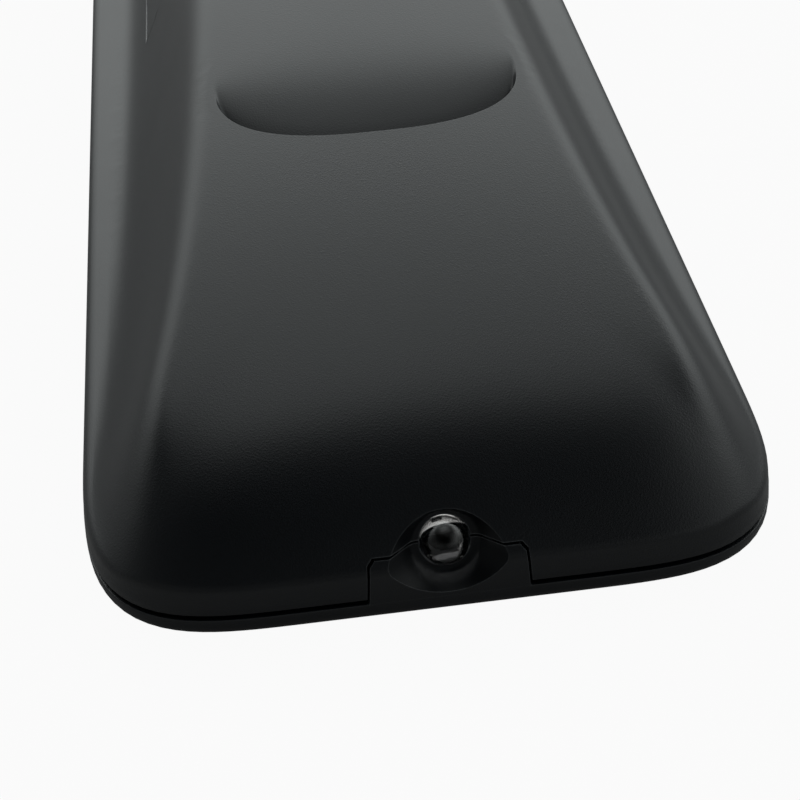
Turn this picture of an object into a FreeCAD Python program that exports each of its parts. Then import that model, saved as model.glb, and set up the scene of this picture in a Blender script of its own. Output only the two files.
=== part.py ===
import FreeCAD, Part
import math
import os

# Soundbar remote control, in millimetres. It lies face down, as it does on a table: X runs across,
# Y runs from the emitter end (-Y) to the far end (+Y), Z runs up to the back.
# The origin is the middle of the rim that it rests on.

V = FreeCAD.Vector

# Overall outline
length = 150.0
width = 46.0
corner_along = 17.5
corner_across = 14.5
corner_power = 3.7

# Shells
parting_height = 1.6
parting_gap = 0.35
shell_wall = 1.8
lip_wall = 0.8
lip_height = 1.2
lip_clearance = 0.1
outer_lip_wall = 0.85
face_wall = 1.2
face_edge_radius = 1.1
field_depth = 0.4
field_inset = 3.2

# Back of the rear shell, heights above the parting line
side_wall_height = 1.95
side_wall_draft = 6.0
side_edge_radius = 1.3
spine_start = 6.8
spine_rise = 13.2
spine_reach = 38.0
crown = 0.003
emitter_slope_rise = 24.0
emitter_slope_reach = 20.0
far_slope_rise = 26.0
far_slope_reach = 16.0
shoulder_slope = 0.45
shoulder_reach = 4.1
valley_start = -0.6
valley_growth = 4.6
valley_reach = 48.0
flank_start = 2.2
flank_growth = 7.5
flank_reach = 17.0
blend_height = 0.9
field_margin = 1.0
sharp_power = 12.0
least_share = 0.03
grid_across = 30
grid_along = 64
grid_overhang = 0.6
probe = 0.05

# Finger recess in the back
recess_from_end = 41.0
recess_half_width = 11.4
recess_half_length = 7.6
recess_power = 2.5
recess_depth = 2.6
recess_floor_angle = 17.0
recess_radius = 2.2
recess_lip_radius = 0.5

# Emitter, its recess and the tab of the front shell round it
emitter_height = 2.85
emitter_radius = 1.5
emitter_flange_radius = 1.9
emitter_flange = 0.8
emitter_body = 5.8
emitter_tip_depth = 0.35
emitter_clearance = 0.1
cone_depth = 2.0
cone_tilt = 19.0
cone_floor_radius = 2.4
cone_reach = 1.1
cone_half_width = 3.56
cone_half_height = 3.16
seat_length = 1.6
cone_lead_in = 2.0
tab_half_width = 5.2
tab_draft = 0.3
tab_chamfer = 0.35
tab_gap = 0.15
lead_size = 0.5
lead_length = 5.0
lead_spacing = 2.54

# Circuit board and what stands on it
board_side_room = 9.2
board_start = 9.0
board_end = 118.0
board_thickness = 1.2
board_corner = 3.0
board_lift = 0.55
rest_wall = 1.2
rest_length = 3.0
rest_places = (25.8, 58.5, 93.5, 112.5)
part_corner = 0.2
chip_lift = 0.1
chip_size = (7.5, 10.0, 1.75)
chip_at = (-6.0, 27.0)
resonator_size = (7.0, 3.0, 4.5)
resonator_at = (7.5, 30.0)
resonator_corner = 1.4
capacitor_radius = 2.5
capacitor_length = 11.0
capacitor_at = (6.0, 24.0)
capacitor_edge = 0.4
passive_size = (1.6, 0.8, 0.6)
passive_from_end = 55.0
passive_pitch = 4.0
passive_count = 6

# Keys; the rows are distances from the emitter end
key_stand = 0.25
key_gap = 0.2
key_edge = 0.35
key_travel = 0.6
flange_width = 0.6
flange_thickness = 0.7
flange_clearance = 0.1
round_key_radius = 5.0
side_key_inset = 11.2
side_plunger_shift = 1.6
power_row = 19.0
rocker_row = 43.0
rocker_half_width = 5.0
rocker_half_length = 12.5
rocker_tilt = 2.5
rocker_switch_inset = 4.5
rocker_power = 2.2
middle_key_radius = 4.2
middle_row_step = 7.0
ring_row = 78.0
ring_inner = 9.3
ring_inset = 6.8
ring_half_angle = 40.0
ring_plunger = 10.6
centre_key_radius = 6.4
bottom_row = 105.0
bottom_key_radius = 4.2

# Keypad mat and the plungers
mat_thickness = 0.8
mat_inset = 0.2
mat_start = 12.5
mat_end = 114.0
dome_height = 0.7
dome_wall = 0.45
plunger_radius = 1.6
plunger_clearance = 0.3
pill_radius = 1.3
pill_thickness = 0.3
contact_spare = 0.1

# Battery bay, cells and contacts
cell_radius = 5.25
cell_length = 44.5
nub_radius = 1.9
nub_length = 0.9
cell_edge = 0.6
cell_gap = 0.3
cell_clearance = 0.1
bay_start = 80.0
deck_thickness = 0.8
bay_wall = 1.2
bay_wall_height = 6.0
bay_end_over = 1.0
bay_roof_gap = 0.6
deck_lead = 2.0
rail_starts = (88.0, 112.0)
rail_spare = 1.0
rail_gap = 0.3
rail_size = 0.8
rib_wall = 1.2
rib_places = (14.0, 36.0, 60.0)
contact_thickness = 0.4
contact_width = 8.4
contact_height = 7.5
spring_length = 5.0
spring_wire_radius = 0.3
spring_base_radius = 3.4
spring_tip_radius = 2.2
spring_turns = 3.5
spring_points = 8

# Battery door
door_start = 70.0
door_wall = 1.4
door_gap = 0.15
tongue_length = 3.0
tongue_thickness = 0.8
tongue_inset = 1.0
tongue_root = 1.5
hook_length = 6.0
hook_thickness = 1.0
hook_height = 2.2

# Worked-out places
half_width = width / 2
end_y = length / 2
board_half_width = half_width - board_side_room
mat_half_width = board_half_width - mat_inset
side_key_x = half_width - side_key_inset
side_plunger_x = side_key_x - side_plunger_shift
ring_outer = half_width - ring_inset
face_inner = field_depth + face_wall
rear_bottom = parting_height + parting_gap
lip_inset = outer_lip_wall + lip_clearance
lip_top = parting_height + lip_height
emitter_z = parting_height + emitter_height
contact_gap = key_travel + contact_spare
board_bottom = emitter_z + board_lift
board_top = board_bottom + board_thickness
mat_bottom = board_bottom - mat_thickness
deck_bottom = board_top + lip_clearance
deck_top = deck_bottom + deck_thickness
cell_z = deck_top + cell_clearance + cell_radius
cell_x = cell_radius + cell_gap / 2
bay_half = cell_x + cell_radius + cell_clearance
bay_end = bay_start + 2 * contact_thickness + cell_length + spring_length
deck_start = door_start - tongue_length - deck_lead
rail_length = hook_length + rail_spare
rail_low = deck_top + hook_height + hook_thickness + rail_gap
tab_depth = cone_depth + seat_length
flange_start = emitter_tip_depth + emitter_body - emitter_flange
plunger_step = rocker_half_length - rocker_switch_inset
rocker_room = rocker_half_length * math.sin(math.radians(rocker_tilt)) + flange_clearance
tall = 60.0
over = 1.0
wide = width
far = end_y + length
nudge = 0.01


def at(distance):
    """Y of a place given by its distance from the emitter end."""
    return distance - end_y


def save(name, shape):
    shape.exportStep("parts/" + name + ".step")
    print(name, len(shape.Solids), shape.isValid(), round(shape.Volume, 2))


def box(x0, x1, y0, y1, z0, z1):
    return Part.makeBox(x1 - x0, y1 - y0, z1 - z0, V(x0, y0, z0))


def curve(points, start, end):
    """Smooth edge through the points, with its directions at both ends."""
    spline = Part.BSplineCurve()
    spline.interpolate(Points=points, InitialTangent=start, FinalTangent=end)
    return spline.toShape()


def quarter(half_x, half_y, power, steps=8):
    """Points of a quarter superellipse from its X axis to its Y axis."""
    points = []
    for i in range(steps + 1):
        angle = math.pi / 2 * i / steps
        across = half_x * max(math.cos(angle), 0.0) ** (2 / power)
        along = half_y * math.sin(angle) ** (2 / power)
        points.append((across, along))
    return points


def rounded_wire(half_x, half_y, corner_x, corner_y, power, z):
    """Closed rounded rectangle at height z, whose corners are quarter superellipses."""
    arc = quarter(corner_x, corner_y, power)
    straight_x, straight_y = half_x - corner_x, half_y - corner_y
    edges = []
    last = None
    for sx, sy, forward in ((1, 1, True), (-1, 1, False), (-1, -1, True), (1, -1, False)):
        points = [V(sx * (straight_x + u), sy * (straight_y + v), z) for u, v in arc]
        start, end = V(0, sy, 0), V(-sx, 0, 0)
        if not forward:
            points.reverse()
            start, end = V(sx, 0, 0), V(0, -sy, 0)
        if last is not None and last.distanceToPoint(points[0]) > nudge:
            edges.append(Part.makeLine(last, points[0]))
        edges.append(curve(points, start, end))
        last = points[-1]
    first = edges[0].Vertexes[0].Point
    if last.distanceToPoint(first) > nudge:
        edges.append(Part.makeLine(last, first))
    return Part.Wire(edges)


def outline(inset, z):
    """Plan outline of the remote at height z, moved inwards by inset."""
    return rounded_wire(half_width - inset, end_y - inset, corner_across - inset,
                        corner_along - inset, corner_power, z)


def slab(wire, height):
    return Part.Face(wire).extrude(V(0, 0, height))


def power_sum(u, v, power):
    return (u ** power + v ** power) ** (1 / power)


def lower(a, b, blend):
    """The smaller of two heights, with a soft change between them."""
    return -blend * math.log(math.exp(-a / blend) + math.exp(-b / blend))


def smooth(value):
    value = min(max(value, 0.0), 1.0)
    return value * value * (3 - 2 * value)


def edge_distances(x, y):
    """Distances in from the side and from the nearest end, both nought all round the corner curve."""
    reach_x, reach_y = corner_across + field_margin, corner_along + field_margin
    u = max(0.0, abs(x) - half_width + corner_across) / reach_x
    v = max(0.0, abs(y) - end_y + corner_along) / reach_y
    share = (1 - power_sum(u, v, corner_power)) / max(1 - power_sum(u, v, sharp_power), least_share)
    side = (half_width + field_margin - abs(x)) * share - field_margin
    end = (end_y + field_margin - abs(y)) * share - field_margin
    return side, end


def back_height(x, y):
    """Height of the back above the parting line."""
    side, end = edge_distances(x, y)
    distance = max(y + end_y, 0.0)
    spine = spine_start + spine_rise * (1 - math.exp(-distance / spine_reach)) - crown * x * x
    valley = valley_start + valley_growth * (1 - math.exp(-distance / valley_reach))
    flank_width = flank_start + flank_growth * (1 - math.exp(-distance / flank_reach))
    shoulder = side_wall_height + shoulder_slope * side * math.exp(-max(side, 0.0) / shoulder_reach)
    flank = shoulder + (spine - shoulder) * smooth((side - valley) / flank_width)
    if y < 0:
        slope = side_wall_height + emitter_slope_rise * (1 - math.exp(-end / emitter_slope_reach))
    else:
        slope = side_wall_height + far_slope_rise * (1 - math.exp(-end / far_slope_reach))
    return lower(slope, flank, blend_height)


def back_surface(depth):
    """Face of the back, moved inwards by depth along its own normals."""
    rows = []
    for i in range(grid_across + 1):
        x = (half_width + grid_overhang) * math.sin(math.pi / 2 * (2 * i / grid_across - 1))
        row = []
        for j in range(grid_along + 1):
            y = (end_y + grid_overhang) * math.sin(math.pi / 2 * (2 * j / grid_along - 1))
            z = back_height(x, y)
            tilt_x = (back_height(x + probe, y) - back_height(x - probe, y)) / (2 * probe)
            tilt_y = (back_height(x, y + probe) - back_height(x, y - probe)) / (2 * probe)
            normal = V(-tilt_x, -tilt_y, 1).normalize()
            row.append(V(x, y, parting_height + z) - normal * depth)
        rows.append(row)
    surface = Part.BSplineSurface()
    surface.interpolate(rows)
    return surface.toShape()


def back_volume(depth, bottom):
    """Solid under the back surface, depth inside the outer skin and above bottom."""
    under = back_surface(depth).extrude(V(0, 0, -tall))
    lean = tall / 2 * math.tan(math.radians(side_wall_draft))
    low_inset = depth + (bottom - parting_height) * lean / (tall / 2)
    low, high = outline(low_inset, bottom), outline(low_inset + lean, bottom + tall / 2)
    walls = Part.makeLoft([low, high], True, True)
    return walls.common(under)


def bounded(shape, *limits):
    return shape.common(box(*limits))


skin = back_volume(0.0, 0.0)
rim_edges = [e for e in skin.Edges if e.BoundBox.ZMin > rear_bottom + side_wall_height / 2]
skin = skin.makeFillet(side_edge_radius, rim_edges)
inner = back_volume(shell_wall, 0.0)


# Finger recess
def recess_tool(grow):
    """Scoop with a sloping floor: deepest behind its lip, running out towards the far end."""
    floor_y = at(recess_from_end) - recess_half_length
    wire = rounded_wire(recess_half_width + grow, recess_half_length + grow,
                        recess_half_width + grow - nudge, recess_half_length + grow - nudge,
                        recess_power, 0.0)
    tool = slab(wire, tall)
    tool.translate(V(0, at(recess_from_end), 0))
    lip_height_z = parting_height + back_height(0, floor_y)
    floor = box(-wide, wide, -far, far, 0, tall)
    floor.rotate(V(0, 0, 0), V(1, 0, 0), recess_floor_angle)
    floor.translate(V(0, floor_y, lip_height_z - recess_depth - grow))
    tool = tool.common(floor)
    low = [e for e in tool.Edges if e.BoundBox.ZMax < lip_height_z + recess_half_length]
    return tool.makeFillet(recess_radius + grow, low)


recess = recess_tool(0.0)
recess_seat = recess_tool(shell_wall)


def with_recess(solid):
    """The back with the finger recess, whose lip is softened all round."""
    cut = solid.cut(recess)
    back = max(cut.Faces, key=lambda face: face.Area)
    lip = [e for wire in back.Wires for e in wire.Edges if not wire.isSame(back.OuterWire)]
    return cut.makeFillet(recess_lip_radius, lip)


# Emitter recess and seat
def tab_profile(grow):
    """Outline of the tab in the XZ plane, at the outer face."""
    top = emitter_z + grow
    shoulder = top - tab_chamfer
    low = 0.0
    half_top = tab_half_width - tab_draft + grow
    half_low = tab_half_width + grow
    corners = [(-half_low, low), (half_low, low), (half_top, shoulder), (half_top - tab_chamfer, top),
               (tab_chamfer - half_top, top), (-half_top, shoulder)]
    points = [V(x, -end_y - over, z) for x, z in corners]
    return Part.Wire(Part.makePolygon(points + points[:1]))


def tab_prism(grow):
    return Part.Face(tab_profile(grow)).extrude(V(0, over + tab_depth + grow, 0))


def emitter_cone():
    """Wide dish round the emitter; its flat floor leans back, so that it opens upwards."""
    slope_x = (cone_half_width - cone_floor_radius) / cone_reach
    slope_z = (cone_half_height - cone_floor_radius) / cone_reach
    sections = []
    for outwards in (0.0, cone_reach + cone_lead_in):
        half_x = cone_floor_radius + slope_x * outwards
        half_z = cone_floor_radius + slope_z * outwards
        ellipse = Part.Ellipse(V(0, 0, 0), half_x + nudge, half_z)
        edge = ellipse.toShape()
        edge.rotate(V(0, 0, 0), V(1, 0, 0), 90 - cone_tilt)
        lean = math.radians(cone_tilt)
        edge.translate(V(0, at(cone_depth), emitter_z) + V(0, -math.cos(lean), math.sin(lean)) * outwards)
        sections.append(Part.Wire([edge]))
    return Part.makeLoft(sections, True, True)


def along_y(radius, start, stop):
    """Round bar on the emitter's axis, between two depths from the emitter end."""
    return Part.makeCylinder(radius, stop - start, V(0, at(start), emitter_z), V(0, 1, 0))


bore = along_y(emitter_radius + emitter_clearance, 0, emitter_tip_depth + emitter_body)
emitter_room = emitter_cone().fuse(bore)


# Rear shell
def rear_shell():
    cavity = inner
    cavity = cavity.cut(recess_seat)
    boss_half = tab_half_width + shell_wall / 2
    cavity = cavity.cut(box(-boss_half, boss_half, -far, at(tab_depth), emitter_z, tall))
    for place in rib_places:
        rib = box(-wide, wide, at(place), at(place + rib_wall), board_top + lip_clearance, tall)
        cavity = cavity.cut(rib)
    cavity = cavity.cut(box(-wide, wide, at(deck_start), far, deck_bottom, deck_top))
    shell = with_recess(skin).cut(cavity)
    shell = shell.cut(box(-wide, wide, -far, far, -tall, rear_bottom))
    shell = shell.cut(slab(outline(outer_lip_wall, -tall), tall + lip_top + lip_clearance))
    shell = shell.cut(tab_prism(tab_gap))
    shell = shell.cut(emitter_room)
    shell = shell.cut(box(-wide, wide, at(door_start), far, deck_top, tall))
    shell = shell.fuse(bay_walls()).removeSplitter()
    return shell


def bay_walls():
    outer_x = bay_half + bay_wall
    top = deck_top + bay_wall_height
    low = deck_top - nudge
    y0, y1 = at(bay_start), at(bay_end)
    walls = box(-outer_x, outer_x, y0 - bay_wall, y1 + bay_wall, low, top)
    walls = walls.cut(box(-bay_half, bay_half, y0, y1, low - over, top + over))
    high = deck_top + contact_height + bay_end_over
    for y in (y0 - bay_wall, y1):
        walls = walls.fuse(box(-outer_x, outer_x, y, y + bay_wall, low, high))
    for start in rail_starts:
        for x0 in (-outer_x - rail_size, outer_x):
            walls = walls.fuse(box(x0, x0 + rail_size, at(start), at(start) + rail_length,
                                   rail_low, rail_low + hook_thickness))
    return walls.common(back_volume(shell_wall + tongue_thickness + bay_roof_gap, 0.0))


# Battery door
def battery_door():
    start = at(door_start) + door_gap
    low = deck_top + door_gap
    door = bounded(skin, -wide, wide, start, far, low, tall).cut(back_volume(door_wall, 0.0))
    under = back_volume(shell_wall + door_gap, 0.0)
    lower_skin = back_volume(shell_wall + door_gap + tongue_thickness, 0.0)
    tongue_half = bay_half - tongue_inset
    middle = start + tongue_root
    tongue = bounded(under, -tongue_half, tongue_half, start - door_gap - tongue_length, middle, low, tall)
    step = bounded(skin, -tongue_half, tongue_half, start, middle, low + hook_height, tall)
    door = door.fuse(tongue.fuse(step).cut(lower_skin))
    inside = bay_half + bay_wall + door_gap
    hook_z = low + hook_height
    for rail in rail_starts:
        y = at(rail) + (rail_length - hook_length) / 2
        for x0, x1 in ((-wide, -inside), (inside, wide)):
            hook = box(x0, x1, y, y + hook_length, hook_z - door_gap, hook_z + hook_thickness - door_gap)
            door = door.fuse(hook.common(skin))
    return door.removeSplitter()


# Front shell
def circle(x, distance, radius):
    def profile(grow, z):
        return Part.Wire([Part.makeCircle(radius + grow, V(x, at(distance), z))])
    return profile


def pill(x, distance, half_x, half_y):
    def profile(grow, z):
        wire = rounded_wire(half_x + grow, half_y + grow, half_x + grow - nudge, half_x + grow - nudge,
                            rocker_power, z)
        wire.translate(V(x, at(distance), 0))
        return wire
    return profile


def ring_part(middle):
    """Part of a ring round the centre key; middle is its direction in degrees."""
    def profile(grow, z):
        centre = V(0, at(ring_row), z)
        inner_r, outer_r = ring_inner - grow, ring_outer + grow

        def spot(radius, side):
            angle = math.radians(middle + side * ring_half_angle) if side else math.radians(middle)
            shift = V(-math.sin(angle), math.cos(angle), 0) * (side * grow)
            return centre + V(math.cos(angle), math.sin(angle), 0) * radius + shift
        a, b, c = spot(outer_r, -1), spot(outer_r, 0), spot(outer_r, 1)
        d, e, f = spot(inner_r, 1), spot(inner_r, 0), spot(inner_r, -1)
        return Part.Wire([Part.Arc(a, b, c).toShape(), Part.makeLine(c, d),
                          Part.Arc(d, e, f).toShape(), Part.makeLine(f, a)])
    return profile


def one(x, distance):
    return [(x, distance)]


mute_row = rocker_row - middle_row_step
mode_row = rocker_row + middle_row_step
rocker_switches = (rocker_row - plunger_step, rocker_row + plunger_step)
rockers = ("volume", "woofer")
keys = {
    "power": (circle(-side_key_x, power_row, round_key_radius), one(-side_plunger_x, power_row)),
    "source": (circle(side_key_x, power_row, round_key_radius), one(side_plunger_x, power_row)),
    "mute": (circle(0, mute_row, middle_key_radius), one(0, mute_row)),
    "mode": (circle(0, mode_row, middle_key_radius), one(0, mode_row)),
    "volume": (pill(-side_key_x, rocker_row, rocker_half_width, rocker_half_length),
               [(-side_plunger_x, row) for row in rocker_switches]),
    "woofer": (pill(side_key_x, rocker_row, rocker_half_width, rocker_half_length),
               [(side_plunger_x, row) for row in rocker_switches]),
    "right": (ring_part(0), one(ring_plunger, ring_row)),
    "down": (ring_part(90), one(0, ring_row + ring_plunger)),
    "left": (ring_part(180), one(-ring_plunger, ring_row)),
    "up": (ring_part(270), one(0, ring_row - ring_plunger)),
    "play": (circle(0, ring_row, centre_key_radius), one(0, ring_row)),
    "pair": (circle(-side_key_x, bottom_row, bottom_key_radius), one(-side_plunger_x, bottom_row)),
    "settings": (circle(0, bottom_row, bottom_key_radius), one(0, bottom_row)),
    "light": (circle(side_key_x, bottom_row, bottom_key_radius), one(side_plunger_x, bottom_row)),
}


def flange_low(name):
    return face_inner + (rocker_room if name in rockers else flange_clearance)


def key_shape(name):
    """Key cap with the flange that keeps it behind the face."""
    profile = keys[name][0]
    low = field_depth - key_stand
    flange_z = flange_low(name)
    cap = slab(profile(0.0, low), flange_z + nudge - low)
    rim = [e for e in cap.Edges if e.BoundBox.ZMax < low + nudge]
    cap = cap.makeFillet(key_edge, rim)
    return cap.fuse(slab(profile(flange_width, flange_z), flange_thickness)).removeSplitter()


def plungers(name):
    """Silicone plunger and contact pill under a key, at each of its switches."""
    solids = []
    low = flange_low(name) + flange_thickness
    high = board_bottom - contact_gap - pill_thickness
    for x, distance in keys[name][1]:
        post = Part.makeCylinder(plunger_radius, high - low, V(x, at(distance), low))
        disc = Part.makeCylinder(pill_radius, pill_thickness, V(x, at(distance), high))
        solids.append(post.fuse(disc).removeSplitter())
    return solids[0] if len(solids) == 1 else Part.Compound(solids)


def front_shell():
    shell = slab(outline(0.0, 0.0), parting_height)
    rim = [e for e in shell.Edges if e.BoundBox.ZMax < nudge]
    shell = shell.makeFillet(face_edge_radius, rim)
    shell = shell.cut(slab(outline(shell_wall, face_inner), tall))
    shell = shell.cut(slab(outline(field_inset, -over), over + field_depth))
    lip = slab(outline(lip_inset, face_inner - nudge), lip_top - face_inner + nudge)
    lip = lip.cut(slab(outline(lip_inset + lip_wall, -over), tall))
    shell = shell.fuse(lip)
    tab = skin.common(tab_prism(0.0))
    tab = tab.cut(box(-wide, wide, -far, far, -tall, parting_height - nudge))
    root = box(-tab_half_width, tab_half_width, at(shell_wall / 2), at(tab_depth), face_inner - nudge,
               parting_height + nudge)
    shell = shell.fuse(tab).fuse(root)
    for name, (profile, spots) in keys.items():
        shell = shell.cut(slab(profile(key_gap, -over), tall))
    shell = shell.fuse(board_rests(0.0))
    return shell.cut(emitter_room).removeSplitter()


def board_rests(grow):
    """Posts on the face that carry the board's edges, enlarged by grow for the notches round them."""
    posts = []
    for start in rest_places:
        for x0 in (-board_half_width, board_half_width - rest_wall):
            posts.append(box(x0 - grow, x0 + rest_wall + grow, at(start) - grow,
                             at(start + rest_length) + grow, face_inner - nudge, board_bottom))
    return Part.Compound(posts)


# Electronics
def emitter():
    ball = emitter_radius
    tip = emitter_tip_depth
    z = emitter_z
    y = at(tip)
    flange_y = at(flange_start)
    back_y = at(tip + emitter_body)
    dome_y = y + ball
    corner = ball * math.sqrt(0.5)
    outline_edges = [
        Part.Arc(V(0, y, z), V(0, dome_y - corner, z + corner), V(0, dome_y, z + ball)).toShape(),
        Part.makeLine(V(0, dome_y, z + ball), V(0, flange_y, z + ball)),
        Part.makeLine(V(0, flange_y, z + ball), V(0, flange_y, z + emitter_flange_radius)),
        Part.makeLine(V(0, flange_y, z + emitter_flange_radius), V(0, back_y, z + emitter_flange_radius)),
        Part.makeLine(V(0, back_y, z + emitter_flange_radius), V(0, back_y, z)),
        Part.makeLine(V(0, back_y, z), V(0, y, z)),
    ]
    return Part.Face(Part.Wire(outline_edges)).revolve(V(0, 0, z), V(0, 1, 0), 360)


def emitter_leads():
    back_y = at(emitter_tip_depth + emitter_body)
    leads = []
    for x in (-lead_spacing / 2, lead_spacing / 2):
        leads.append(box(x - lead_size / 2, x + lead_size / 2, back_y, back_y + lead_length,
                         board_bottom - lead_size, board_bottom))
    return Part.Compound(leads)


def plate(x, distance, half_x, half_y, z, thickness, corner):
    wire = rounded_wire(half_x, half_y, corner, corner, 2.0, z)
    wire.translate(V(x, at(distance), 0))
    return slab(wire, thickness)


def circuit_board():
    middle, half = (board_start + board_end) / 2, (board_end - board_start) / 2
    return plate(0, middle, board_half_width, half, board_bottom, board_thickness, board_corner)


def keypad_mat():
    middle, half = (mat_start + mat_end) / 2, (mat_end - mat_start) / 2
    mat = plate(0, middle, mat_half_width, half, mat_bottom, mat_thickness, board_corner)
    hole = plunger_radius + plunger_clearance
    base = hole + dome_wall * 2
    for profile, spots in keys.values():
        for x, distance in spots:
            centre = V(x, at(distance), mat_bottom - dome_height)
            mat = mat.fuse(Part.makeCone(hole + dome_wall, base + dome_wall, dome_height + nudge, centre))
            mat = mat.cut(Part.makeCone(hole, base, dome_height + mat_thickness + nudge, centre))
    return mat.cut(board_rests(key_gap)).removeSplitter()


def block(x, distance, size, z, corner):
    return plate(x, distance, size[0] / 2, size[1] / 2, z, size[2], corner)


def controller_chip():
    return block(chip_at[0], chip_at[1], chip_size, board_top + chip_lift, part_corner)


def reservoir_capacitor():
    x, distance = capacitor_at
    centre = V(x - capacitor_length / 2, at(distance), board_top + capacitor_radius)
    can = Part.makeCylinder(capacitor_radius, capacitor_length, centre, V(1, 0, 0))
    ends = [e for e in can.Edges if e.BoundBox.XLength < nudge]
    return can.makeFillet(capacitor_edge, ends)


def chip_passives():
    row = []
    for i in range(passive_count):
        x = passive_pitch * (i - (passive_count - 1) / 2)
        across, along, high = passive_size
        start = at(passive_from_end) - along / 2
        row.append(box(x - across / 2, x + across / 2, start, start + along, board_top, board_top + high))
    return Part.Compound(row)


# Cells and contacts
def cell(side):
    """Cell lying along Y; side is -1 for the left one, whose nub points to the emitter end."""
    x = side * cell_x
    start = at(bay_start + contact_thickness)
    if side > 0:
        start += spring_length
    body = cell_length - nub_length
    can_y = start + nub_length if side < 0 else start
    can = Part.makeCylinder(cell_radius, body, V(x, can_y, cell_z), V(0, 1, 0))
    can = can.makeFillet(cell_edge, [e for e in can.Edges if e.BoundBox.YLength < nudge])
    nub_y = start if side < 0 else start + body
    nub = Part.makeCylinder(nub_radius, nub_length, V(x, nub_y, cell_z), V(0, 1, 0))
    return can.fuse(nub).removeSplitter()


def contact_plate(x0, x1, far_wall):
    y = at(bay_end) - contact_thickness if far_wall else at(bay_start)
    return box(x0, x1, y, y + contact_thickness, deck_top, deck_top + contact_height)


def spring(x, far_wall):
    """Conical coil between a contact plate and the flat end of a cell."""
    reach = spring_length - 2 * spring_wire_radius
    steps = round(spring_turns * spring_points)
    points = []
    for i in range(steps + 1):
        share = i / steps
        angle = 2 * math.pi * spring_turns * share
        radius = spring_base_radius + (spring_tip_radius - spring_base_radius) * share
        points.append(V(radius * math.cos(angle), radius * math.sin(angle), reach * share))
    line = Part.BSplineCurve()
    line.interpolate(points)
    profile = Part.Wire([Part.makeCircle(spring_wire_radius, points[0], line.tangent(0)[0])])
    coil = Part.Wire([line.toShape()]).makePipeShell([profile], True, True)
    if far_wall:
        coil.rotate(V(0, 0, 0), V(1, 0, 0), 90)
        coil.translate(V(x, at(bay_end) - contact_thickness - spring_wire_radius, cell_z))
    else:
        coil.rotate(V(0, 0, 0), V(1, 0, 0), -90)
        coil.translate(V(x, at(bay_start) + contact_thickness + spring_wire_radius, cell_z))
    return coil


if __name__ == "__main__":
    os.makedirs("parts", exist_ok=True)
    save("rear_shell", rear_shell())
    save("battery_door", battery_door())
    save("front_shell", front_shell())
    for name in keys:
        save(name + "_key", key_shape(name))
        save(name + "_plunger", plungers(name))
    save("ir_led", emitter())
    save("ir_led_leads", emitter_leads())
    save("circuit_board", circuit_board())
    save("keypad_mat", keypad_mat())
    save("controller_chip", controller_chip())
    save("resonator", block(resonator_at[0], resonator_at[1], resonator_size, board_top, resonator_corner))
    save("reservoir_capacitor", reservoir_capacitor())
    save("chip_passives", chip_passives())
    half_plate = contact_width / 2
    save("contact_positive", contact_plate(-cell_x - half_plate, -cell_x + half_plate, False))
    save("contact_negative", contact_plate(cell_x - half_plate, cell_x + half_plate, False))
    save("negative_spring", spring(cell_x, False))
    save("contact_bridge", contact_plate(-cell_x - half_plate, cell_x + half_plate, True))
    save("bridge_spring", spring(-cell_x, True))
    save("cell_left", cell(-1))
    save("cell_right", cell(1))
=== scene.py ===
"""Looks of the soundbar remote control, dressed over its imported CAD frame. Sizes are in millimetres."""

import math
from contextlib import contextmanager

import bmesh
import bpy
import numpy as np
from mathutils import Matrix, Vector
from mathutils.bvhtree import BVHTree
from mathutils.geometry import delaunay_2d_cdt


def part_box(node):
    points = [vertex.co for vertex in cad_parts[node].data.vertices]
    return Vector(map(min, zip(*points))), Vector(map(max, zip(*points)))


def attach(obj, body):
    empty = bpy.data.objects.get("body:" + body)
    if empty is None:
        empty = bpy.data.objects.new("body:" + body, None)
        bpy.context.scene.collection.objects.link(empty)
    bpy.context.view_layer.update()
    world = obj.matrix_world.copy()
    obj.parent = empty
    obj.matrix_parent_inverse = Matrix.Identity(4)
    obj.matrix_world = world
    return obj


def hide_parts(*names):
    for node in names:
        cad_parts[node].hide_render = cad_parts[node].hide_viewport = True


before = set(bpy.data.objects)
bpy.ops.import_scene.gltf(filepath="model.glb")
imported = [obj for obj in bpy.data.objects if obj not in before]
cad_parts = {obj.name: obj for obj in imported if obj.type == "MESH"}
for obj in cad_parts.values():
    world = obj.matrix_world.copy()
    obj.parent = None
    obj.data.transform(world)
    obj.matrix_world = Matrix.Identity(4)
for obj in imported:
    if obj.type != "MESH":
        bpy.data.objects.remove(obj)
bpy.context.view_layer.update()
MM = 0.001

# Sizes of the CAD model
HALF_W, HALF_L = 23.0, 75.0
CORNER_X, CORNER_Y, CORNER_POWER = 14.5, 17.5, 3.7
PARTING, GAP, SHELL = 1.6, 0.35, 1.8
REAR_LOW = PARTING + GAP
WALL_HEIGHT, DRAFT, WALL_EDGE = 1.95, math.tan(math.radians(6.0)), 1.3
FIELD_Z, FIELD_INSET, FACE_RADIUS, FACE_INNER = 0.4, 3.2, 1.1, 1.6
EMITTER_Z = PARTING + 2.85
BOARD_LOW = EMITTER_Z + 0.55
BOARD_TOP = BOARD_LOW + 1.2
DECK_TOP = BOARD_TOP + 0.1 + 0.8
CELL_R, CELL_L = 5.25, 44.5
CELL_X, CELL_Z = CELL_R + 0.15, DECK_TOP + 0.1 + CELL_R
BAY_START = 80.0
DOOR_Y, DOOR_GAP = 70.0 - HALF_L, 0.12
TAB_HALF, TAB_DRAFT, TAB_CHAMFER, TAB_GAP = 5.2, 0.3, 0.35, 0.15
CONE_X, CONE_Z, CONE_REACH, CONE_DEPTH, CONE_FLOOR, CONE_TILT = 3.56, 3.16, 1.1, 2.0, 2.1, math.radians(19.0)
BORE_R, BORE_END = 1.6, 6.3
TAB_DEPTH = CONE_DEPTH + 1.6
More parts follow.
